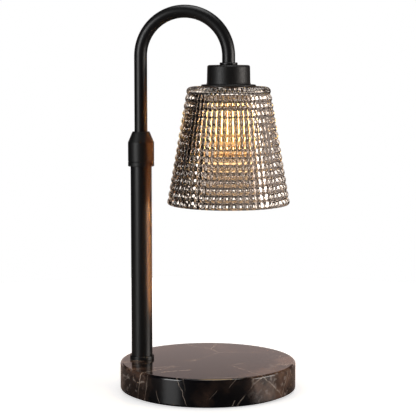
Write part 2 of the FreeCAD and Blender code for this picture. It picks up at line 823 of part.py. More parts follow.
# ---------------------------------------------------------------- output
sub_parts = [marble_base, base_pad, cord_gland, pole_foot_ring, lower_pole, pole_bottom_plug,
             pole_stud, pole_washer, pole_lock_washer, pole_nut, collar_ferrule, clamp_collet,
             lock_collar, guide_bush, gooseneck, neck_ring, head_nipple, head_lock_washer,
             head_nut, bracket_nut, socket_cup, holder_bracket, lamp_holder, holder_contacts,
             holder_screws, bulb_base, bulb_pins, bulb_reflector, bulb_lens, halogen_capsule,
             glass_shade, upper_gasket, lower_gasket, shade_ring, base_lead, wire_connectors,
             slack_lead, arm_lead]

os.makedirs("parts", exist_ok=True)
for make in sub_parts:
    shape = make()
    node = make.__name__
    if not shape.isValid():
        raise ValueError(node + " is not a valid shape")
    shape.exportStep("parts/" + node + ".step")
    print(node, len(shape.Solids), "solids", round(shape.Volume, 1), "mm3")
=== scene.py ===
import json
import math

import bmesh
import bpy
import numpy as np
from mathutils import Matrix, Vector


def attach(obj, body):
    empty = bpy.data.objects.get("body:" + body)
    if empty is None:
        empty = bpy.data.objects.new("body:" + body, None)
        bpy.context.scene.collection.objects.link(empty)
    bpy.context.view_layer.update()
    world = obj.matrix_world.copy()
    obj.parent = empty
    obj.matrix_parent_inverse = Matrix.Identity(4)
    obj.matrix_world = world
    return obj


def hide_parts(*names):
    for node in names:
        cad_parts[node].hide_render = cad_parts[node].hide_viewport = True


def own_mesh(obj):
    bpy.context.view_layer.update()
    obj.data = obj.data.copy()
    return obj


for leftover in ("Cube", "Light", "Camera"):
    if leftover in bpy.data.objects:
        bpy.data.objects.remove(bpy.data.objects[leftover])

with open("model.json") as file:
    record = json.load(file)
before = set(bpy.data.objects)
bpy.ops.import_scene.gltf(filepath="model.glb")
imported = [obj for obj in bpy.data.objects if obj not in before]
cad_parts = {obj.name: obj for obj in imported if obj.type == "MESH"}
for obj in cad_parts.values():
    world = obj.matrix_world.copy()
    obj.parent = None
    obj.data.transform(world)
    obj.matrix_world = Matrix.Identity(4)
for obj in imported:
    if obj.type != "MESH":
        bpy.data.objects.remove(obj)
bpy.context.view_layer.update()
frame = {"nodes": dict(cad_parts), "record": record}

mm = 0.001       # the lamp's sizes are in mm; the camera, studio and floor are in metres
poleX = -57.5    # axis of the pole
headX = 17.5     # axis of the shade, cup and bulb
print("frame loaded:", len(frame["nodes"]), "nodes")


def linearColor(hexText):
    # sRGB hex to linear light by the standard curve, alpha 1
    sRgb = np.array([int(hexText[i:i + 2], 16) for i in (1, 3, 5)]) / 255
    linear = np.where(sRgb <= 0.04045, sRgb / 12.92, ((sRgb + 0.055) / 1.055) ** 2.4)
    return (*linear.tolist(), 1.0)


def setInputs(tree, node, inputs):
    # each named or numbered input takes a value, or a link from another node's socket
    for name, value in inputs.items():
        if isinstance(value, bpy.types.NodeSocket):
            tree.links.new(value, node.inputs[name])
        else:
            node.inputs[name].default_value = value


def addNode(tree, kind, inputs=None, stops=(), **settings):
    # a node with its settings and inputs; stops are a colour ramp's (place, hex colour) pairs
    node = tree.nodes.new(kind)
    for name, value in settings.items():
        setattr(node, name, value)
    setInputs(tree, node, inputs or {})
    if stops:
        elements = node.color_ramp.elements
        while len(elements) < len(stops):
            elements.new(1.0)
        for element, (place, hexText) in zip(elements, stops):
            element.position = place
            element.color = linearColor(hexText)
    return node


def newMaterial(name):
    # a material with a Principled shader, and its piece's Object coordinates
    material = bpy.data.materials.new(name)
    material.use_nodes = True
    tree = material.node_tree
    tree.nodes.clear()
    shader = addNode(tree, "ShaderNodeBsdfPrincipled")
    addNode(tree, "ShaderNodeOutputMaterial", {"Surface": shader.outputs[0]})
    coords = addNode(tree, "ShaderNodeTexCoord").outputs["Object"]
    return material, tree, shader, coords


def easedProfile(corners, ease=0.15, steps=5, hold=0.3):
    # Outline in (radius, height) from its corners in order. A corner's third number is its
    # rounding. An arc touches both sides of the corner: its points turn evenly between the
    # two touching points, seen from its centre. One more point a little way along each side
    # keeps the flat beside an arc flat. A corner on the axis stays as it is.
    arcShare, guardShare = 0.42, 0.48    # the most of a side that an arc and its flat may take
    places = [np.array(corner[:2], float) for corner in corners]
    points = []
    for i, corner in enumerate(corners):
        here, before, after = places[i], places[i - 1], places[(i + 1) % len(places)]
        radius = corner[2] if len(corner) > 2 else ease
        if here[0] == 0 or radius == 0:
            points.append(here[None])
            continue
        runs = [np.linalg.norm(side - here) for side in (before, after)]
        ways = [(side - here) / run for side, run in zip((before, after), runs)]
        half = math.acos(np.clip(ways[0] @ ways[1], -1, 1)) / 2
        reach = min(radius / math.tan(half), arcShare * min(runs))
        radius = reach * math.tan(half)
        middle = ways[0] + ways[1]
        centre = here + middle / np.linalg.norm(middle) * radius / math.sin(half)
        ends = [here + way * reach - centre for way in ways]
        sweep = math.pi - 2 * half
        share = np.linspace(0, 1, steps + 1)[:, None]
        arc = (np.sin((1 - share) * sweep) * ends[0] + np.sin(share * sweep) * ends[1]) / math.sin(sweep)
        guards = [here + way * min(reach + hold, guardShare * run) for way, run in zip(ways, runs)]
        points += [guards[0][None], centre + arc, guards[1][None]]
    return np.vstack(points)


def gridPiece(name, places, closeRows, slot):
    # A mesh on a grid of places in mm, rows by columns. The columns always close round on
    # themselves; the rows do too where the outline is a loop. Corners of the grid's cells
    # are numbered row by row, and each cell joins four neighbours. Poles are merged.
    samePlace = 1e-7    # metres
    rows, columns = places.shape[:2]
    number = np.arange(rows * columns).reshape(rows, columns)
    number = np.hstack([number, number[:, :1]])
    if closeRows:
        number = np.vstack([number, number[:1]])
    cells = np.stack([number[:-1, :-1], number[:-1, 1:], number[1:, 1:], number[1:, :-1]], axis=-1)
    cells = cells.reshape(-1, 4).astype(np.int32)
    mesh = bpy.data.meshes.new(name)
    mesh.vertices.add(rows * columns)
    mesh.vertices.foreach_set("co", (places.reshape(-1) * mm).astype(np.float32))
    mesh.loops.add(cells.size)
    mesh.loops.foreach_set("vertex_index", cells.reshape(-1))
    mesh.polygons.add(len(cells))
    mesh.polygons.foreach_set("loop_start", np.arange(0, cells.size, 4, dtype=np.int32))
    mesh.update(calc_edges=True)
    shell = bmesh.new()
    shell.from_mesh(mesh)
    bmesh.ops.remove_doubles(shell, verts=shell.verts, dist=samePlace)
    bmesh.ops.recalc_face_normals(shell, faces=shell.faces)
    shell.to_mesh(mesh)
    shell.free()
    mesh.polygons.foreach_set("use_smooth", np.ones(len(mesh.polygons), bool))
    mesh.materials.append(finishes[slot])
    piece = bpy.data.objects.new(name, mesh)
    bpy.context.scene.collection.objects.link(piece)
    return piece


def turnedPiece(name, corners, axisX, slot, sides=128, ease=0.15, steps=5):
    # An outline carried round an upright axis: x and y are the radius times the cosine and
    # sine of the turn. An outline that starts and ends on the axis is left open there.
    profile = easedProfile(corners, ease, steps)
    turn = np.arange(sides) * 2 * math.pi / sides
    radius, height = profile[:, :1], profile[:, 1:]
    places = np.stack([axisX + radius * np.cos(turn), radius * np.sin(turn), height + 0 * turn], axis=-1)
    return gridPiece(name, places, profile[0, 0] > 0, slot)


camera = {
    "place": (0.180, -1.24905, 0.298894),
    "down": 0.113,      # radians below level
    "round": 0.1431,    # radians round the upright
    "lens": 129.5,      # mm, as is the sensor
    "sensor": 36,
}
cameraData = bpy.data.cameras.new("photoCamera")
cameraData.lens = camera["lens"]
cameraData.sensor_width = camera["sensor"]
cameraObject = bpy.data.objects.new("photoCamera", cameraData)
cameraObject.location = camera["place"]
cameraObject.rotation_euler = (math.pi / 2 - camera["down"], 0, camera["round"])
bpy.context.scene.collection.objects.link(cameraObject)
bpy.context.scene.camera = cameraObject
bpy.context.scene.view_settings.view_transform = "Standard"

studio = {
    "fillHex": "#6e6c6a",       # light of the room on matt surfaces
    "hazeHex": "#ffe6e0",       # backdrop that gloss sees, low over the floor
    "hazeBand": (0.04, 0.22, 0.05),     # sines of its lowest and highest elevation, and its fade
    "hazeWay": (-0.143, 0.99, 0.0),
    "hazeEdge": (0.75, 0.9),    # cosines off that way between which it comes up
    "gloomHex": "#17161a",      # the rest of the room that gloss sees
    "cards": 7,                 # white cards round the object, that glass sees
    "cardPhase": -2.57,
    "cardEdge": (0.35, 0.65),   # of a wave from -1 to 1: lower makes the cards wider
    "cardBand": (-0.30, 0.05, 0.03),    # sines of elevation and fade, as for the haze
    "cardLight": (4.0, 3.9, 3.8, 1.0),
    "roomHex": "#080706",       # the room between the cards
    "wallHex": "#b8afab",       # and its brighter side
    "brightWay": (0.93, 0.37, 0.0),
    "brightEdge": (0.05, 0.8),
    "backdropHex": "#ffffff",
    "aim": (0, 0, 0.17),        # the place that the softboxes face
    "softboxes": [
        # name, place and size in metres, watts, colour
        ("leftSoftbox", (-1.03, -1.25, 0.52), (0.60, 0.95), 12.5, "#ffffff"),
        ("rightSoftbox", (1.45, -0.10, 0.30), (0.90, 0.55), 10.5, "#fff8f2"),
        ("topSoftbox", (0.15, 0.10, 1.60), (1.10, 0.90), 9, "#ffffff"),
    ],
}


def worldBand(tree, height, low, high, fade):
    # 1 where the sine of the elevation lies between low and high, fading at both
    above = addNode(tree, "ShaderNodeMapRange", {
        "Value": height, "From Min": low - fade, "From Max": low + fade}).outputs[0]
    below = addNode(tree, "ShaderNodeMapRange", {
        "Value": height, "From Min": high + fade, "From Max": high - fade}).outputs[0]
    return addNode(tree, "ShaderNodeMath", {0: above, 1: below}, operation="MULTIPLY").outputs[0]


def worldSide(tree, coords, way, edge):
    # 1 towards way, coming up where the cosine of the angle off it passes the two edges
    side = addNode(tree, "ShaderNodeVectorMath", {0: coords, 1: way},
                   operation="DOT_PRODUCT").outputs["Value"]
    return addNode(tree, "ShaderNodeMapRange", {
        "Value": side, "From Min": edge[0], "From Max": edge[1]}).outputs[0]


def lightStudio():
    world = bpy.data.worlds.new("studioWorld")
    bpy.context.scene.world = world
    world.use_nodes = True
    tree = world.node_tree
    tree.nodes.clear()
    rays = addNode(tree, "ShaderNodeLightPath")
    coords = addNode(tree, "ShaderNodeTexCoord").outputs["Generated"]
    height = addNode(tree, "ShaderNodeSeparateXYZ", {0: coords}).outputs["Z"]
    # gloss sees a pale backdrop above the floor, behind the object, in a dark room
    haze = worldBand(tree, height, *studio["hazeBand"])
    behind = worldSide(tree, coords, studio["hazeWay"], studio["hazeEdge"])
    haze = addNode(tree, "ShaderNodeMath", {0: haze, 1: behind}, operation="MULTIPLY").outputs[0]
    gloss = addNode(tree, "ShaderNodeMix", {
        0: haze, 6: linearColor(studio["gloomHex"]), 7: linearColor(studio["hazeHex"])},
        data_type="RGBA").outputs[2]
    # glass sees a ring of white cards with dark gaps between them
    turn = addNode(tree, "ShaderNodeTexGradient", {0: coords}, gradient_type="RADIAL").outputs["Fac"]
    phase = addNode(tree, "ShaderNodeMath", {
        0: turn, 1: studio["cards"] * 2 * math.pi, 2: studio["cardPhase"]},
        operation="MULTIPLY_ADD").outputs[0]
    wave = addNode(tree, "ShaderNodeMath", {0: phase}, operation="COSINE").outputs[0]
    card = addNode(tree, "ShaderNodeMapRange", {
        "Value": wave, "From Min": studio["cardEdge"][0], "From Max": studio["cardEdge"][1]}).outputs[0]
    low = worldBand(tree, height, *studio["cardBand"])
    card = addNode(tree, "ShaderNodeMath", {0: card, 1: low}, operation="MULTIPLY").outputs[0]
    side = worldSide(tree, coords, studio["brightWay"], studio["brightEdge"])
    room = addNode(tree, "ShaderNodeMix", {
        0: side, 6: linearColor(studio["roomHex"]), 7: linearColor(studio["wallHex"])},
        data_type="RGBA").outputs[2]
    glass = addNode(tree, "ShaderNodeMix", {0: card, 6: room, 7: studio["cardLight"]},
                    data_type="RGBA").outputs[2]
    seen = linearColor(studio["fillHex"])
    for ray, color in (("Is Glossy Ray", gloss), ("Is Transmission Ray", glass),
                       ("Is Camera Ray", linearColor(studio["backdropHex"]))):
        seen = addNode(tree, "ShaderNodeMix", {0: rays.outputs[ray], 6: seen, 7: color},
                       data_type="RGBA").outputs[2]
    sky = addNode(tree, "ShaderNodeBackground", {"Color": seen, "Strength": 1.0})
    addNode(tree, "ShaderNodeOutputWorld", {"Surface": sky.outputs[0]})

    for name, place, size, watts, hexText in studio["softboxes"]:
        lamp = bpy.data.lights.new(name, "AREA")
        lamp.shape = "RECTANGLE"
        lamp.size, lamp.size_y = size
        lamp.energy = watts
        lamp.color = linearColor(hexText)[:3]
        box = bpy.data.objects.new(name, lamp)
        box.location = place
        box.rotation_euler = (Vector(studio["aim"]) - Vector(place)).to_track_quat("-Z", "Y").to_euler()
        box.visible_camera = False
        bpy.context.scene.collection.objects.link(box)


floorPaint = {
    "radius": 0.6, "sides": 64,
    "paintHex": "#e8e8e8", "roughness": 0.4,
    "glossFront": (0.05, "#2c2c2e"),    # what gloss sees of it up to 0.05 m left and right
    "glossSides": (0.16, "#8a7d78"),    # and from 0.16 m out
    "lift": 0.58,               # keeps the lit floor white while shadows still show
    "liftGrows": (0.12, 0.35),  # metres from the middle between which the lift becomes 1
}


def addFloor():
    material, tree, shader, coords = newMaterial("paintedStudioFloor")
    # white acrylic: gloss sees little of its white, but sees the lamps in its polish
    rays = addNode(tree, "ShaderNodeLightPath")
    across = addNode(tree, "ShaderNodeSeparateXYZ", {0: coords}).outputs["X"]
    across = addNode(tree, "ShaderNodeMath", {0: across}, operation="ABSOLUTE").outputs[0]
    gloss = addNode(tree, "ShaderNodeValToRGB", {"Fac": across},
                    stops=[floorPaint["glossFront"], floorPaint["glossSides"]]).outputs["Color"]
    white = addNode(tree, "ShaderNodeMix", {
        0: rays.outputs["Is Glossy Ray"], 6: linearColor(floorPaint["paintHex"]), 7: gloss},
        data_type="RGBA").outputs[2]
    away = addNode(tree, "ShaderNodeVectorMath", {0: coords}, operation="LENGTH").outputs["Value"]
    lift = addNode(tree, "ShaderNodeMapRange", {
        "Value": away, "From Min": floorPaint["liftGrows"][0], "From Max": floorPaint["liftGrows"][1],
        "To Min": floorPaint["lift"], "To Max": 1.0}).outputs[0]
    lift = addNode(tree, "ShaderNodeMath", {0: rays.outputs["Is Camera Ray"], 1: lift},
                   operation="MULTIPLY").outputs[0]
    setInputs(tree, shader, {"Base Color": white, "Roughness": floorPaint["roughness"],
                             "Emission Color": (1, 1, 1, 1), "Emission Strength": lift})
    ring = np.arange(floorPaint["sides"]) * 2 * math.pi / floorPaint["sides"]
    edge = floorPaint["radius"] * np.stack([np.cos(ring), np.sin(ring), 0 * ring], axis=-1)
    mesh = bpy.data.meshes.new("studioFloor")
    mesh.from_pydata(edge.tolist(), [], [list(range(floorPaint["sides"]))])
    mesh.materials.append(material)
    floor = bpy.data.objects.new("studioFloor", mesh)
    bpy.context.scene.collection.objects.link(floor)


lightStudio()
addFloor()
print("camera, lamps and floor ready")


marble = {
    "ground": "#0b0a0c", "brown": "#2c211c", "cloud": "#5f4a3f", "fleck": "#a59c97", "vein": "#c9b8aa",
    "roughness": 0.12, "ior": 1.55,
    "warpMm": 2.6, "warpCellMm": 11.11,     # how far a noise bends every pattern, and its cell
    "cloudMm": 38, "cloudSteps": (0.48, 0.60, 0.72),
    # the ends' lift of the clouds is a painted reflection of the room, where the side turns away
    "reflectionEndsMm": (25, 72), "reflectionEndsShift": (-0.05, 0.15),     # browner out towards the left and right ends
    "fleckMm": 4.5, "fleckSteps": (0.55, 0.67), "fleckEndsMm": (40, 62), "fleckShare": 0.42,
    "webMm": 52, "webEdge": (0.002, 0.014), "webShare": 0.5,    # the edge in cells
    "patchMm": 33.33, "patchSteps": (0.46, 0.60),
    "breakMm": 3.846, "breakSteps": (0.34, 0.55), "breakLeft": 0.25,
    "veins": [
        # start, end and lean of each vein's crack in mm, half its width, how far it shows, strength
        ((-15.1, -73.5, 23.2), (-7.8, -74.6, 5.7), (0.15, 1, 0), 0.20, 15.0, 0.55),
        ((-41.0, -63.5, 23.0), (-44.3, -60.5, 2.4), (0.5, 1, 0), 0.26, 13.0, 0.32),
        ((-52.0, -54.0, 15.8), (-43.5, -61.0, 17.4), (0.4, 1, 0.1), 0.6, 5.5, 0.30),
        ((-33.2, -67.2, 11.5), (-30.3, -68.6, 1.8), (0.4, 1, 0), 0.18, 6.5, 0.5),
        ((-41.5, -37.0, 24.3), (-24.5, -26.7, 24.3), (0.1, 0.5, -1), 0.40, 11.5, 0.8),
        ((-33.5, -53.0, 24.3), (-9.5, -40.0, 24.3), (0.1, 0.6, -1), 0.50, 15.0, 1.0),
        ((59.0, -11.4, 24.3), (74.4, -4.0, 24.3), (0, 0.3, -1), 0.5, 9.5, 1.0),
        ((59.5, 21.0, 24.3), (63.5, 31.2, 24.3), (0, 0.3, -1), 0.4, 7.0, 0.6),
        ((71.0, -24.0, 23.5), (66.4, -34.9, 0.9), (-1, 0.4, 0), 0.22, 14.0, 0.7),
        ((32.4, -67.6, 6.2), (30.2, -68.7, 1.6), (-0.4, 1, 0), 0.30, 3.6, 0.4),
        ((33.2, -67.2, 24.2), (27.6, -69.7, 17.6), (-0.4, 1, 0), 0.32, 6.5, 0.16),
        ((60.9, -44.0, 18.3), (60.4, -44.4, 9.5), (-1, 0.6, 0), 0.32, 5.5, 0.2),
        ((18.0, -73.0, 15.0), (12.0, -74.0, 8.0), (-0.4, 1, 0), 0.22, 5.0, 0.2),
        ((-58.0, -47.0, 20.0), (-66.0, -36.0, 12.0), (0.5, 1, 0), 0.35, 8.0, 0.25),
    ],
}


def veinMask(tree, place, start, end, lean, half, reach, strength):
    # strength on a thin plane through start and end, within reach of the middle between them
    core, edge, fade = 0.3, 1.3, 0.75    # shares of the half width, and of the reach
    start, end = np.array(start), np.array(end)
    normal = np.cross(end - start, lean)
    normal /= np.linalg.norm(normal)
    off = addNode(tree, "ShaderNodeVectorMath", {0: place, 1: tuple(-start * mm)},
                  operation="ADD").outputs[0]
    off = addNode(tree, "ShaderNodeVectorMath", {0: off, 1: tuple(normal)},
                  operation="DOT_PRODUCT").outputs["Value"]
    off = addNode(tree, "ShaderNodeMath", {0: off}, operation="ABSOLUTE").outputs[0]
    line = addNode(tree, "ShaderNodeMapRange", {
        "Value": off, "From Min": core * half * mm, "From Max": edge * half * mm,
        "To Min": 1.0, "To Max": 0.0}).outputs[0]
    away = addNode(tree, "ShaderNodeVectorMath", {0: place, 1: tuple((start + end) / 2 * mm)},
                   operation="DISTANCE").outputs["Value"]
    near = addNode(tree, "ShaderNodeMapRange", {
        "Value": away, "From Min": fade * reach * mm, "From Max": reach * mm,
        "To Min": strength, "To Max": 0.0}).outputs[0]
    return addNode(tree, "ShaderNodeMath", {0: line, 1: near}, operation="MULTIPLY").outputs[0]


def polishedMarble():
    # Dark marble, sawn and polished to a mirror: near-black ground with brown clouds, small grey
    # flecks, and thin pale calcite veins that run through top and side alike.
    material, tree, shader, coords = newMaterial("polishedMarble")
    warp = addNode(tree, "ShaderNodeTexNoise", {
        "Vector": coords, "Scale": 1000 / marble["warpCellMm"], "Detail": 4.0}).outputs["Color"]
    warp = addNode(tree, "ShaderNodeVectorMath", {0: warp, 1: (0.5, 0.5, 0.5)},
                   operation="SUBTRACT").outputs[0]
    warp = addNode(tree, "ShaderNodeVectorMath", {0: warp, "Scale": 2 * marble["warpMm"] * mm},
                   operation="SCALE").outputs[0]
    place = addNode(tree, "ShaderNodeVectorMath", {0: coords, 1: warp}, operation="ADD").outputs[0]
    clouds = addNode(tree, "ShaderNodeTexNoise", {
        "Vector": place, "Scale": 1000 / marble["cloudMm"], "Detail": 7.0, "Roughness": 0.6}).outputs[0]
    across = addNode(tree, "ShaderNodeSeparateXYZ", {0: coords}).outputs["X"]
    across = addNode(tree, "ShaderNodeMath", {0: across}, operation="ABSOLUTE").outputs[0]
    # painted reflection: the clouds come up lighter and browner out towards the left and right ends
    paintedEndReflection = addNode(tree, "ShaderNodeMapRange", {
        "Value": across, "From Min": marble["reflectionEndsMm"][0] * mm, "From Max": marble["reflectionEndsMm"][1] * mm,
        "To Min": marble["reflectionEndsShift"][0], "To Max": marble["reflectionEndsShift"][1]}).outputs[0]
    clouds = addNode(tree, "ShaderNodeMath", {0: clouds, 1: paintedEndReflection}, operation="ADD").outputs[0]
    colors = (marble["ground"], marble["brown"], marble["cloud"])
    ground = addNode(tree, "ShaderNodeValToRGB", {"Fac": clouds},
                     stops=list(zip(marble["cloudSteps"], colors))).outputs["Color"]
    # small grey flecks, only out towards the left and right ends
    flecks = addNode(tree, "ShaderNodeTexNoise", {
        "Vector": place, "Scale": 1000 / marble["fleckMm"], "Detail": 4.0}).outputs[0]
    flecks = addNode(tree, "ShaderNodeMapRange", {
        "Value": flecks, "From Min": marble["fleckSteps"][0], "From Max": marble["fleckSteps"][1],
        "To Max": marble["fleckShare"]}).outputs[0]
    ends = addNode(tree, "ShaderNodeMapRange", {
        "Value": across, "From Min": marble["fleckEndsMm"][0] * mm,
        "From Max": marble["fleckEndsMm"][1] * mm}).outputs[0]
    flecks = addNode(tree, "ShaderNodeMath", {0: flecks, 1: ends}, operation="MULTIPLY").outputs[0]
    ground = addNode(tree, "ShaderNodeMix", {0: flecks, 6: ground, 7: linearColor(marble["fleck"])},
                     data_type="RGBA").outputs[2]
    # a faint web of hairlines, kept in patches
    web = addNode(tree, "ShaderNodeTexVoronoi", {"Vector": place, "Scale": 1000 / marble["webMm"]},
                  feature="DISTANCE_TO_EDGE").outputs["Distance"]
    line = addNode(tree, "ShaderNodeMapRange", {
        "Value": web, "From Min": marble["webEdge"][0], "From Max": marble["webEdge"][1],
        "To Min": marble["webShare"], "To Max": 0.0}).outputs[0]
    patches = addNode(tree, "ShaderNodeTexNoise", {
        "Vector": coords, "Scale": 1000 / marble["patchMm"], "Detail": 2.0}).outputs[0]
    keep = addNode(tree, "ShaderNodeMapRange", {
        "Value": patches, "From Min": marble["patchSteps"][0],
        "From Max": marble["patchSteps"][1]}).outputs[0]
    pale = addNode(tree, "ShaderNodeMath", {0: line, 1: keep}, operation="MULTIPLY").outputs[0]
    for vein in marble["veins"]:
        mask = veinMask(tree, place, *vein)
        pale = addNode(tree, "ShaderNodeMath", {0: pale, 1: mask}, operation="MAXIMUM").outputs[0]
    # all lines fade here and there
    breaks = addNode(tree, "ShaderNodeTexNoise", {
        "Vector": coords, "Scale": 1000 / marble["breakMm"], "Detail": 3.0}).outputs[0]
    breaks = addNode(tree, "ShaderNodeMapRange", {
        "Value": breaks, "From Min": marble["breakSteps"][0], "From Max": marble["breakSteps"][1],
        "To Min": marble["breakLeft"]}).outputs[0]
    pale = addNode(tree, "ShaderNodeMath", {0: pale, 1: breaks}, operation="MULTIPLY").outputs[0]
    color = addNode(tree, "ShaderNodeMix", {0: pale, 6: ground, 7: linearColor(marble["vein"])},
                    data_type="RGBA").outputs[2]
    setInputs(tree, shader, {"Base Color": color, "Roughness": marble["roughness"],
                             "IOR": marble["ior"]})
    return material


def powderCoat(name, hexText, grainMm, roughness, depth):
    # Steel or zinc, powder coated and baked: satin black with a fine dry grain. Real grains are
    # about 0.1 mm, too fine to show, so they are drawn at grainMm, depth mm deep.
    look = {"grainSteps": (0.3, 0.7), "smoother": 0.05, "rougher": 0.06, "bump": 0.5}
    material, tree, shader, coords = newMaterial(name)
    grain = addNode(tree, "ShaderNodeTexNoise", {
        "Vector": coords, "Scale": 1000 / grainMm, "Detail": 3.0}).outputs[0]
    tone = addNode(tree, "ShaderNodeMapRange", {
        "Value": grain, "From Min": look["grainSteps"][0], "From Max": look["grainSteps"][1],
        "To Min": roughness - look["smoother"], "To Max": roughness + look["rougher"]}).outputs[0]
    bump = addNode(tree, "ShaderNodeBump", {
        "Height": grain, "Strength": look["bump"], "Distance": depth * mm}).outputs[0]
    setInputs(tree, shader, {"Base Color": linearColor(hexText), "Roughness": tone, "Normal": bump})
    return material


def grainedPlain(name, hexText, roughness, grainMm=0.8, depth=0.02, metallic=0.0, spread=0.08):
    # One plain colour with a faint mottle and a fine surface: moulded, turned or plated pieces.
    # The colour strays by spread to both sides. Real grain is too fine to show, so it is drawn
    # at grainMm, depth mm deep.
    look = {"bump": 0.4}
    material, tree, shader, coords = newMaterial(name)
    base = np.array(linearColor(hexText)[:3])
    grain = addNode(tree, "ShaderNodeTexNoise", {
        "Vector": coords, "Scale": 1000 / grainMm, "Detail": 3.0}).outputs[0]
    low, high = (tuple((base * (1 + side * spread)).clip(0, 1)) + (1.0,) for side in (-1, 1))
    color = addNode(tree, "ShaderNodeMix", {0: grain, 6: low, 7: high}, data_type="RGBA").outputs[2]
    bump = addNode(tree, "ShaderNodeBump", {
        "Height": grain, "Strength": look["bump"], "Distance": depth * mm}).outputs[0]
    setInputs(tree, shader, {"Base Color": color, "Normal": bump, "Roughness": roughness,
                             "Metallic": metallic})
    return material


shade = {
    # sizes of the shade, for its glass here and its mesh further down
    "topRadius": 34.9, "bottomRadius": 52.3, "top": 258.5, "rim": 159.2,
    "wall": 3.9, "roof": 4.0, "hole": 17.3,
    "ribs": 58, "rows": 16,
    "ribRelief": 2.5,      # crest of a bead over the upright grooves beside it, at the rim
    "rowRelief": 1.2,      # and over the level grooves above and below it
    "rowPoints": 9, "ribPoints": 8,
    "shoulder": 2.4, "rimEase": 1.4,    # quarter rounds that end the patterned wall
    "holeEase": 0.4, "underEase": 0.3, "roofEase": 2.5, "insideEase": 1.0, "lipEase": 0.3,
    "lip": 1.2,            # flat of the rim beside the inner wall
    "hold": 0.5,           # keeps the flats beside the roundings flat
}


def shadeHollow():
    # height under the roof, and the smooth inner wall's radius there and at the rim
    slope = (shade["bottomRadius"] - shade["topRadius"]) / (shade["top"] - shade["rim"])
    return (shade["top"] - shade["roof"],
            shade["topRadius"] + slope * shade["roof"] - shade["wall"],
            shade["bottomRadius"] - shade["wall"])


def pressedGlass():
    # Soda-lime glass pressed in a patterned mould, tinted smoke brown. The tint is taken at
    # each of the four faces that a ray crosses. Lamps shine through it. The plunger leaves the
    # inside a little matt: roughness applies on the inner wall and up to skin mm outside it.
    look = {"tint": "#c4bab1", "shadow": "#b9aea4", "ior": 1.52, "roughness": 0.06, "skin": 0.2}
    material, tree, shader, coords = newMaterial("pressedSmokedGlass")
    under, insideTop, insideLow = shadeHollow()
    parts = addNode(tree, "ShaderNodeSeparateXYZ", {0: coords}).outputs
    across = addNode(tree, "ShaderNodeMath", {0: parts["X"], 1: headX * mm},
                     operation="SUBTRACT").outputs[0]
    across = addNode(tree, "ShaderNodeCombineXYZ", {0: across, 1: parts["Y"]}).outputs[0]
    across = addNode(tree, "ShaderNodeVectorMath", {0: across}, operation="LENGTH").outputs["Value"]
    wall = addNode(tree, "ShaderNodeMapRange", {
        "Value": parts["Z"], "From Min": shade["rim"] * mm, "From Max": under * mm,
        "To Min": (insideLow + look["skin"]) * mm,
        "To Max": (insideTop + look["skin"]) * mm}).outputs[0]
    inside = addNode(tree, "ShaderNodeMath", {0: across, 1: wall}, operation="LESS_THAN").outputs[0]
    matt = addNode(tree, "ShaderNodeMath", {0: inside, 1: look["roughness"]},
                   operation="MULTIPLY").outputs[0]
    setInputs(tree, shader, {"Base Color": linearColor(look["tint"]), "Transmission Weight": 1.0,
                             "IOR": look["ior"], "Roughness": matt})
    rays = addNode(tree, "ShaderNodeLightPath")
    clear = addNode(tree, "ShaderNodeBsdfTransparent", {"Color": linearColor(look["shadow"])})
    lets = addNode(tree, "ShaderNodeMixShader", {
        0: rays.outputs["Is Shadow Ray"], 1: shader.outputs[0], 2: clear.outputs[0]})
    output = next(node for node in tree.nodes if node.type == "OUTPUT_MATERIAL")
    setInputs(tree, output, {"Surface": lets.outputs[0]})
    return material


bulb = {
    # sizes of the bulb, for its glow here and its mesh further down
    "radius": 25.0, "face": 203.0, "lensSeat": 204.8, "rimTop": 205.5, "shoulder": 243.5,
    "bulge": 22.8, "bulgeHeight": 222.0, "bulgeRound": 60.0, "bulgeInside": 58.0,
    "wall": 1.2, "neck": 10.45, "seat": 24.25, "throat": 22.9, "lens": 24.2, "lensGap": 0.05,
    "faceEase": 0.3, "rimEase": 0.4, "shoulderEase": 0.8, "neckEase": 0.2, "seatEase": 0.1,
    "lensEase": 0.8, "sides": 96, "steps": 10,
}


def litReflector():
    # Pressed glass bowl with a dichroic coat: the capsule's light leaks through it, blurred,
    # and it glows warm, orange near the neck.
    look = {"glow": 0.06, "roughness": 0.15, "tint": "#ffe4bc",
            "glowHexes": [(0.0, "#ffd890"), (0.35, "#fff0bd"), (0.72, "#ffe6a0"), (0.80, "#f0992f"),
                          (0.90, "#a3601c"), (1.0, "#5a3413")]}    # from the face to the shoulder
    material, tree, shader, coords = newMaterial("dichroicReflectorGlass")
    height = addNode(tree, "ShaderNodeSeparateXYZ", {0: coords}).outputs["Z"]
    share = addNode(tree, "ShaderNodeMapRange", {
        "Value": height, "From Min": bulb["face"] * mm, "From Max": bulb["shoulder"] * mm}).outputs[0]
    color = addNode(tree, "ShaderNodeValToRGB", {"Fac": share},
                    stops=look["glowHexes"]).outputs["Color"]
    setInputs(tree, shader, {"Base Color": linearColor(look["tint"]), "Transmission Weight": 1.0,
                             "Roughness": look["roughness"], "Emission Color": color,
                             "Emission Strength": look["glow"]})
    return material


def litGlass(name, hexText, glow, glowHex, roughness=0.05):
    # Blown or pressed clear glass with the light of the filament in it
    look = {"ior": 1.5, "clear": 0.4}    # share that is clear; the rest is milky with light
    material, tree, shader, coords = newMaterial(name)
    setInputs(tree, shader, {"Base Color": linearColor(hexText), "Roughness": roughness,
                             "IOR": look["ior"], "Transmission Weight": look["clear"],
                             "Emission Color": linearColor(glowHex), "Emission Strength": glow})
    return material


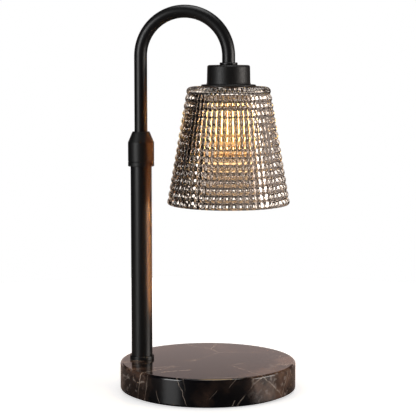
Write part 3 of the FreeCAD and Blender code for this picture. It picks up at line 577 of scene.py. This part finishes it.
finishes = {
    # a finish for each slot, and what it gives the eye where its function doesn't say
    "marble": polishedMarble(),
    # black and matt, with open pores
    "foam": grainedPlain("cutFoamRubber", "#1d1d1d", 0.9, grainMm=1.2, depth=0.15, spread=0.25),
    "black_nylon": grainedPlain("mouldedNylon", "#1c1c1d", 0.45),    # soft sheen
    "zinc_steel": grainedPlain("zincPlatedSteel", "#b9babb", 0.32, metallic=1.0),    # bright grey
    "black_powder": powderCoat("powderCoatedSteel", "#0e0e0f", grainMm=0.7, roughness=0.38, depth=0.05),
    # a little duller than the tubes
    "black_collar": powderCoat("powderCoatedZinc", "#0e0e0e", grainMm=0.7, roughness=0.44, depth=0.05),
    # coarser and drier than both
    "black_cup": powderCoat("texturedPowderCoat", "#0f0e0d", grainMm=1.1, roughness=0.46, depth=0.14),
    "brass": grainedPlain("turnedBrass", "#c8a050", 0.28, metallic=1.0),    # bright yellow
    "natural_nylon": grainedPlain("naturalNylon", "#d9d4c6", 0.5),    # milky
    "ceramic": grainedPlain("firedSteatite", "#e4dfd4", 0.55, grainMm=0.6),    # unglazed off-white
    "smoked_glass": pressedGlass(),
    "fibre": grainedPlain("vulcanisedFibre", "#5a4638", 0.8, grainMm=0.6, spread=0.15),    # dull
    "turned_aluminium": grainedPlain("turnedAluminium", "#c6c6c4", 0.35, metallic=1.0),    # satin
    "pin_nickel": grainedPlain("nickelPlatedPin", "#c9c4b8", 0.25, metallic=1.0),    # warm, bright
    "reflector": litReflector(),
    # its moulded pips blur the capsule
    "lens_glass": litGlass("pressedLensGlass", "#fff6e6", glow=0.4, glowHex="#ffe6bd", roughness=0.15),
    "quartz": litGlass("quartzCapsule", "#ffffff", glow=9.5, glowHex="#fff3c4"),    # brightest of all
    "wire": grainedPlain("siliconeSleeve", "#b9b6ae", 0.6),    # soft and rubbery
    "connector": grainedPlain("mouldedConnector", "#c8c4ba", 0.5),    # pale, half matt
}

for part in frame["record"]["subparts"]:
    node = frame["nodes"][part["node"]]
    for place in node.material_slots:
        place.material = finishes[part["material_slot"]]
print("materials:", len(finishes))


stone = {"radius": 75.0, "low": 1.5, "high": 24.3, "topEase": 2.0, "bottomEase": 1.0,
         "sides": 256, "steps": 8, "sharp": 40}    # degrees past which an edge stays crisp
stoneBase = turnedPiece("stoneBase", [
    (0, stone["low"]), (stone["radius"], stone["low"], stone["bottomEase"]),
    (stone["radius"], stone["high"], stone["topEase"]), (0, stone["high"])],
    0, "marble", sides=stone["sides"], steps=stone["steps"])

# the cord gland's seat and bore in the side, each a cylinder along x
seat = {"height": 8.5, "outer": -80.0, "face": -73.6, "radius": 6.25, "bore": 4.0,
        "inner": -60.0, "sides": 64}


def boredPiece(piece, radius, start, end, height, sides):
    # the piece less a cylinder along x from start to end
    drill = bmesh.new()
    along = Matrix.Rotation(math.pi / 2, 4, "Y")
    along.translation = ((start + end) / 2 * mm, 0, height * mm)
    bmesh.ops.create_cone(drill, cap_ends=True, segments=sides, radius1=radius * mm,
                          radius2=radius * mm, depth=(end - start) * mm, matrix=along)
    drillMesh = bpy.data.meshes.new("drill")
    drill.to_mesh(drillMesh)
    drill.free()
    drillObject = bpy.data.objects.new("drill", drillMesh)
    bpy.context.scene.collection.objects.link(drillObject)
    bore = piece.modifiers.new("bore", "BOOLEAN")
    bore.operation = "DIFFERENCE"
    bore.solver = "EXACT"
    bore.object = drillObject
    shape = bpy.data.meshes.new_from_object(piece.evaluated_get(bpy.context.evaluated_depsgraph_get()))
    piece.modifiers.clear()
    piece.data = shape
    bpy.data.objects.remove(drillObject)


boredPiece(stoneBase, seat["radius"], seat["outer"], seat["face"], seat["height"], seat["sides"])
boredPiece(stoneBase, seat["bore"], seat["outer"], seat["inner"], seat["height"], seat["sides"])
stoneBase.data.set_sharp_from_angle(angle=math.radians(stone["sharp"]))
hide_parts("marble_base")
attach(stoneBase, "base_assembly")

pad = {"radius": 71.0, "thick": stone["low"], "ease": 0.3, "sides": 192}
footPad = turnedPiece("footPad", [
    (0, 0), (pad["radius"], 0, pad["ease"]), (pad["radius"], pad["thick"], pad["ease"]),
    (0, pad["thick"])], 0, "foam", sides=pad["sides"])
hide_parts("base_pad")
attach(footPad, "base_assembly")

ring = {"bore": 9.1, "radius": 10.4, "low": stone["high"], "high": stone["high"] + 3.0,
        "ease": 0.7, "boreEase": 0.2}
footRing = turnedPiece("footRing", [
    (ring["bore"], ring["low"]), (ring["radius"], ring["low"]),
    (ring["radius"], ring["high"], ring["ease"]), (ring["bore"], ring["high"], ring["boreEase"])],
    poleX, "black_powder")
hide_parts("pole_foot_ring")
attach(footRing, "base_assembly")
print("base done")


pole = {"radius": 9.0, "bore": 7.6, "low": ring["low"] + 1.0, "high": 198.0}
lowerPole = turnedPiece("lowerPole", [
    (pole["bore"], pole["low"]), (pole["radius"], pole["low"]),
    (pole["radius"], pole["high"]), (pole["bore"], pole["high"])],
    poleX, "black_powder")
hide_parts("lower_pole")
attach(lowerPole, "base_assembly")

slack = {"low": 40.3, "high": 143.0, "turns": 7, "steps": 336, "sides": 12,
         "wire": 1.1, "coil": 5.0,    # radii of a wire and of its coil
         "apart": 1.6, "lead": 0.06,  # half the wires' spacing at both ends, and the share that eases
         "travel": 60.0}              # of the slide on its way down


def slackWire(name, side):
    # One wire of the lead, coiled in the pole. Its line is a helix whose radius eases from half
    # the wires' spacing to the coil's over the first and last stretch. Round each point of the
    # line lies a circle square to it, and a point closes each end.
    share = np.linspace(0, 1, slack["steps"] + 1)
    near = np.clip(np.minimum(share, 1 - share) / slack["lead"], 0, 1)
    radius = slack["apart"] + (slack["coil"] - slack["apart"]) * near ** 2 * (3 - 2 * near)
    turn = side * math.pi / 2 + share * slack["turns"] * 2 * math.pi
    outward = np.stack([np.cos(turn), np.sin(turn), 0 * turn], axis=-1)
    line = radius[:, None] * outward
    line[:, 2] = slack["low"] + share * (slack["high"] - slack["low"])
    along = np.gradient(line, axis=0)
    along /= np.linalg.norm(along, axis=1)[:, None]
    across = np.cross(along, outward)
    across /= np.linalg.norm(across, axis=1)[:, None]
    around = np.arange(slack["sides"]) * 2 * math.pi / slack["sides"]
    circle = (np.cos(around)[:, None] * np.cross(across, along)[:, None]
              + np.sin(around)[:, None] * across[:, None])
    rings = line[:, None] + slack["wire"] * circle
    ends = [np.repeat(line[i][None, None], slack["sides"], axis=1) for i in (0, -1)]
    places = np.concatenate([ends[0], rings, ends[1]]) + (poleX, 0, 0)
    return gridPiece(name, places, False, "wire")


for name, side in (("slackWireBack", 1), ("slackWireFront", -1)):
    wire = slackWire(name, side)
    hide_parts("slack_lead")
    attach(wire, "base_assembly")
    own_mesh(wire)

collar = {"radius": 11.1, "low": 190.7, "shoulder": 211.0, "high": 220.1, "topRadius": 7.3,
          "bore": 5.8, "skirtBore": 9.3, "skirtTop": 198.5,
          "groove": 0.35, "grooveAt": 194.7,    # depth and height of the line above the lip
          "thread": 8.55, "threadTop": 209.0, "coneTop": 216.3, "coneRadius": 7.35,
          "ease": 0.4, "shoulderEase": 0.5, "grooveEase": 0.05}
lockCollar = turnedPiece("lockCollar", [
    (collar["skirtBore"], collar["low"]), (collar["radius"], collar["low"], collar["ease"]),
    (collar["radius"], collar["grooveAt"] - collar["groove"], collar["grooveEase"]),
    (collar["radius"] - collar["groove"], collar["grooveAt"], collar["grooveEase"]),
    (collar["radius"], collar["grooveAt"] + collar["groove"], collar["grooveEase"]),
    (collar["radius"], collar["shoulder"], collar["shoulderEase"]),
    (collar["topRadius"], collar["high"], collar["ease"]), (collar["bore"], collar["high"]),
    (collar["bore"], collar["coneTop"]), (collar["coneRadius"], collar["coneTop"]),
    (collar["thread"], collar["threadTop"]), (collar["thread"], collar["skirtTop"]),
    (collar["skirtBore"], collar["skirtTop"])],
    poleX, "black_collar")
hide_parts("lock_collar")
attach(lockCollar, "collar")
print("telescope done")


arm = {"radius": 5.5, "bore": 4.5, "tubeEnd": 146.0, "bendStart": 283.9,
       "bendRadius": (headX - poleX) / 2, "legEnd": 276.5, "sides": 48, "bendSteps": 72, "sharp": 40,
       "riseRings": (215.0, 283.0), "fallRings": (283.5, 280.0),    # rings along the straight legs
       "guard": 0.3}    # and one this near each end keeps its edge crisp


def armPiece():
    # A ring carried along up, round the half circle and down: each place is the path's point
    # plus the radius times the cosine of the turn along the path's in-plane normal and the sine
    # along Y. The outside runs one way and the bore runs back.
    bend = np.linspace(0, math.pi, arm["bendSteps"])
    rise = np.array([arm["tubeEnd"], arm["tubeEnd"] + arm["guard"], *arm["riseRings"]])
    fall = np.array([*arm["fallRings"], arm["legEnd"] + arm["guard"], arm["legEnd"]])
    x = np.concatenate([poleX + 0 * rise, poleX + arm["bendRadius"] * (1 - np.cos(bend)),
                        headX + 0 * fall])
    z = np.concatenate([rise, arm["bendStart"] + arm["bendRadius"] * np.sin(bend), fall])
    outward = np.concatenate([0 * rise, bend, 0 * fall + math.pi])
    path = np.stack([x, 0 * x, z], axis=-1)
    normal = np.stack([-np.cos(outward), 0 * x, np.sin(outward)], axis=-1)
    turn = np.arange(arm["sides"]) * 2 * math.pi / arm["sides"]
    around = (np.cos(turn)[None, :, None] * normal[:, None]
              + np.sin(turn)[None, :, None] * np.array([0.0, 1.0, 0.0]))
    outside = path[:, None] + arm["radius"] * around
    inside = (path[:, None] + arm["bore"] * around)[::-1]
    return gridPiece("gooseneckTube", np.concatenate([outside, inside]), True, "black_powder")


gooseneck = armPiece()
gooseneck.data.set_sharp_from_angle(angle=math.radians(arm["sharp"]))
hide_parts("gooseneck")
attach(gooseneck, "arm_assembly")

neck = {"bore": 5.55, "radius": 7.55, "low": arm["legEnd"], "high": arm["legEnd"] + 2.2, "ease": 0.6}
neckRing = turnedPiece("neckRing", [
    (neck["bore"], neck["low"]), (neck["radius"], neck["low"], neck["ease"]),
    (neck["radius"], neck["high"], neck["ease"]), (neck["bore"], neck["high"])],
    headX, "black_powder")
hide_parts("neck_ring")
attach(neckRing, "arm_assembly")
print("arm done")


cup = {"topRadius": 17.95, "footRadius": 18.25, "bore": 16.75, "hole": 5.1,
       "top": neck["low"], "inside": neck["low"] - 1.2, "flare": 262.3, "flareStart": 18.75,
       "flange": 259.0, "flangeTop": 260.2, "flangeRadius": 23.0,
       "insideEase": 0.6, "flangeEase": 0.3, "rimEase": 0.5, "footEase": 1.6, "flareEase": 4.0,
       "topEase": 1.5, "sides": 160}
socketCup = turnedPiece("socketCup", [
    (cup["hole"], cup["inside"]), (cup["bore"], cup["inside"], cup["insideEase"]),
    (cup["bore"], cup["flange"]), (cup["flangeRadius"], cup["flange"], cup["flangeEase"]),
    (cup["flangeRadius"], cup["flangeTop"], cup["rimEase"]),
    (cup["flareStart"], cup["flangeTop"], cup["footEase"]),
    (cup["footRadius"], cup["flare"], cup["flareEase"]),
    (cup["topRadius"], cup["top"], cup["topEase"]), (cup["hole"], cup["top"])],
    headX, "black_cup", sides=cup["sides"])
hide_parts("socket_cup")
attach(socketCup, "arm_assembly")


def shadePiece():
    # The outside is a cone less two rounded rows of beads, each relief * s squared, where s goes
    # from -1 to 1 across a bead and up a bead; the upright grooves taper with the cone. Points
    # stand at s = sin, so they crowd at the grooves. Roof, hole, smooth inside and rim close it.
    pitch = (shade["top"] - shade["rim"]) / shade["rows"]
    turn = np.arange(shade["ribs"] * shade["ribPoints"]) / shade["ribPoints"]
    across = np.sin(math.pi / 2 * (2 * (turn % 1.0) - 1))
    turn = np.floor(turn) + (across + 1) / 2
    rise = np.arange(shade["rows"] * shade["rowPoints"] + 1) / shade["rowPoints"]
    up = np.sin(math.pi / 2 * (2 * (rise % 1.0) - 1))
    rise = np.floor(rise) + (up + 1) / 2
    z = shade["rim"] + rise * pitch
    taper = (shade["topRadius"] - shade["bottomRadius"]) / (shade["top"] - shade["rim"])
    cone = shade["bottomRadius"] + (z - shade["rim"]) * taper
    hollow = (shade["rowRelief"] * up[:, None] ** 2
              + shade["ribRelief"] * (cone / shade["bottomRadius"])[:, None] * across[None] ** 2)
    outside = cone[:, None] - hollow
    # both ends of the patterned wall turn in on a quarter round
    topDrop = np.clip(z - (shade["top"] - shade["shoulder"]), 0, shade["shoulder"])
    rimLift = np.clip(shade["rim"] + shade["rimEase"] - z, 0, shade["rimEase"])
    outside -= (shade["shoulder"] - np.sqrt(shade["shoulder"] ** 2 - topDrop ** 2))[:, None]
    outside -= (shade["rimEase"] - np.sqrt(shade["rimEase"] ** 2 - rimLift ** 2))[:, None]
    under, insideTop, insideLow = shadeHollow()
    inner = easedProfile([
        (shade["hole"], shade["top"], shade["holeEase"]), (shade["hole"], under, shade["underEase"]),
        (insideTop, under, shade["roofEase"]), (insideLow, shade["rim"], shade["insideEase"]),
        (insideLow + shade["lip"], shade["rim"], shade["lipEase"])], hold=shade["hold"])
    angle = turn * 2 * math.pi / shade["ribs"]
    radius = np.concatenate([outside, inner[:, :1] + 0 * turn])
    height = np.concatenate([z, inner[:, 1]])[:, None] + 0 * turn
    places = np.stack([headX + radius * np.cos(angle), radius * np.sin(angle), height], axis=-1)
    return gridPiece("pressedShade", places, True, "smoked_glass")


glassShade = shadePiece()
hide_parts("glass_shade")
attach(glassShade, "arm_assembly")
print("shade:", len(glassShade.data.polygons), "faces")


bulbBowl = turnedPiece("bulbBowl", [
    (bulb["radius"], bulb["face"], bulb["faceEase"]), (bulb["radius"], bulb["rimTop"], bulb["rimEase"]),
    (bulb["bulge"], bulb["bulgeHeight"], bulb["bulgeRound"]),
    (bulb["neck"] + bulb["wall"], bulb["shoulder"], bulb["shoulderEase"]),
    (bulb["neck"], bulb["shoulder"], bulb["neckEase"]),
    (bulb["neck"], bulb["shoulder"] - bulb["wall"], bulb["neckEase"]),
    (bulb["bulge"] - bulb["wall"], bulb["bulgeHeight"], bulb["bulgeInside"]),
    (bulb["throat"], bulb["rimTop"], bulb["faceEase"]),
    (bulb["throat"], bulb["lensSeat"], bulb["seatEase"]),
    (bulb["seat"], bulb["lensSeat"], bulb["seatEase"]),
    (bulb["seat"], bulb["face"], bulb["seatEase"])],
    headX, "reflector", sides=bulb["sides"], steps=bulb["steps"])
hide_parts("bulb_reflector")
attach(bulbBowl, "bulb")

bulbLens = turnedPiece("bulbLens", [
    (0, bulb["face"] + bulb["lensGap"]),
    (bulb["lens"], bulb["face"] + bulb["lensGap"], bulb["lensEase"]),
    (bulb["lens"], bulb["lensSeat"], bulb["neckEase"]), (0, bulb["lensSeat"])],
    headX, "lens_glass", sides=bulb["sides"])
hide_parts("bulb_lens")
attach(bulbLens, "bulb")

# The bulb's own light, and the light that the shade throws on the pole beside it. Their places
# are in mm; radius, width and height are in metres, the spread in degrees.
bulbLight = {"place": (headX, 0, 180), "watts": 0.38, "hex": "#ffd596", "radius": 0.034}
poleSpill = {"place": (-12, 12, 158), "watts": 0.09, "hex": "#ffa254",
             "width": 0.10, "height": 0.195, "spread": 85}
glow = bpy.data.lights.new("bulbLight", "POINT")
glow.shadow_soft_size = bulbLight["radius"]
spill = bpy.data.lights.new("poleSpill", "AREA")
spill.shape = "ELLIPSE"
spill.size, spill.size_y = poleSpill["width"], poleSpill["height"]
spill.spread = math.radians(poleSpill["spread"])
spill.cycles.use_multiple_importance_sampling = False    # so that gloss sees it only softly
for lamp, look in ((glow, bulbLight), (spill, poleSpill)):
    lamp.energy = look["watts"]
    lamp.color = linearColor(look["hex"])[:3]
    source = bpy.data.objects.new(lamp.name, lamp)
    source.location = Vector(look["place"]) * mm
    source.visible_camera = False
    source.visible_transmission = False
    if lamp.type == "AREA":    # level, facing the pole
        way = Vector((poleX, 0, look["place"][2])) * mm - source.location
        source.rotation_euler = way.to_track_quat("-Z", "Y").to_euler()
    bpy.context.scene.collection.objects.link(source)
    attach(source, "bulb")
print("bulb done")
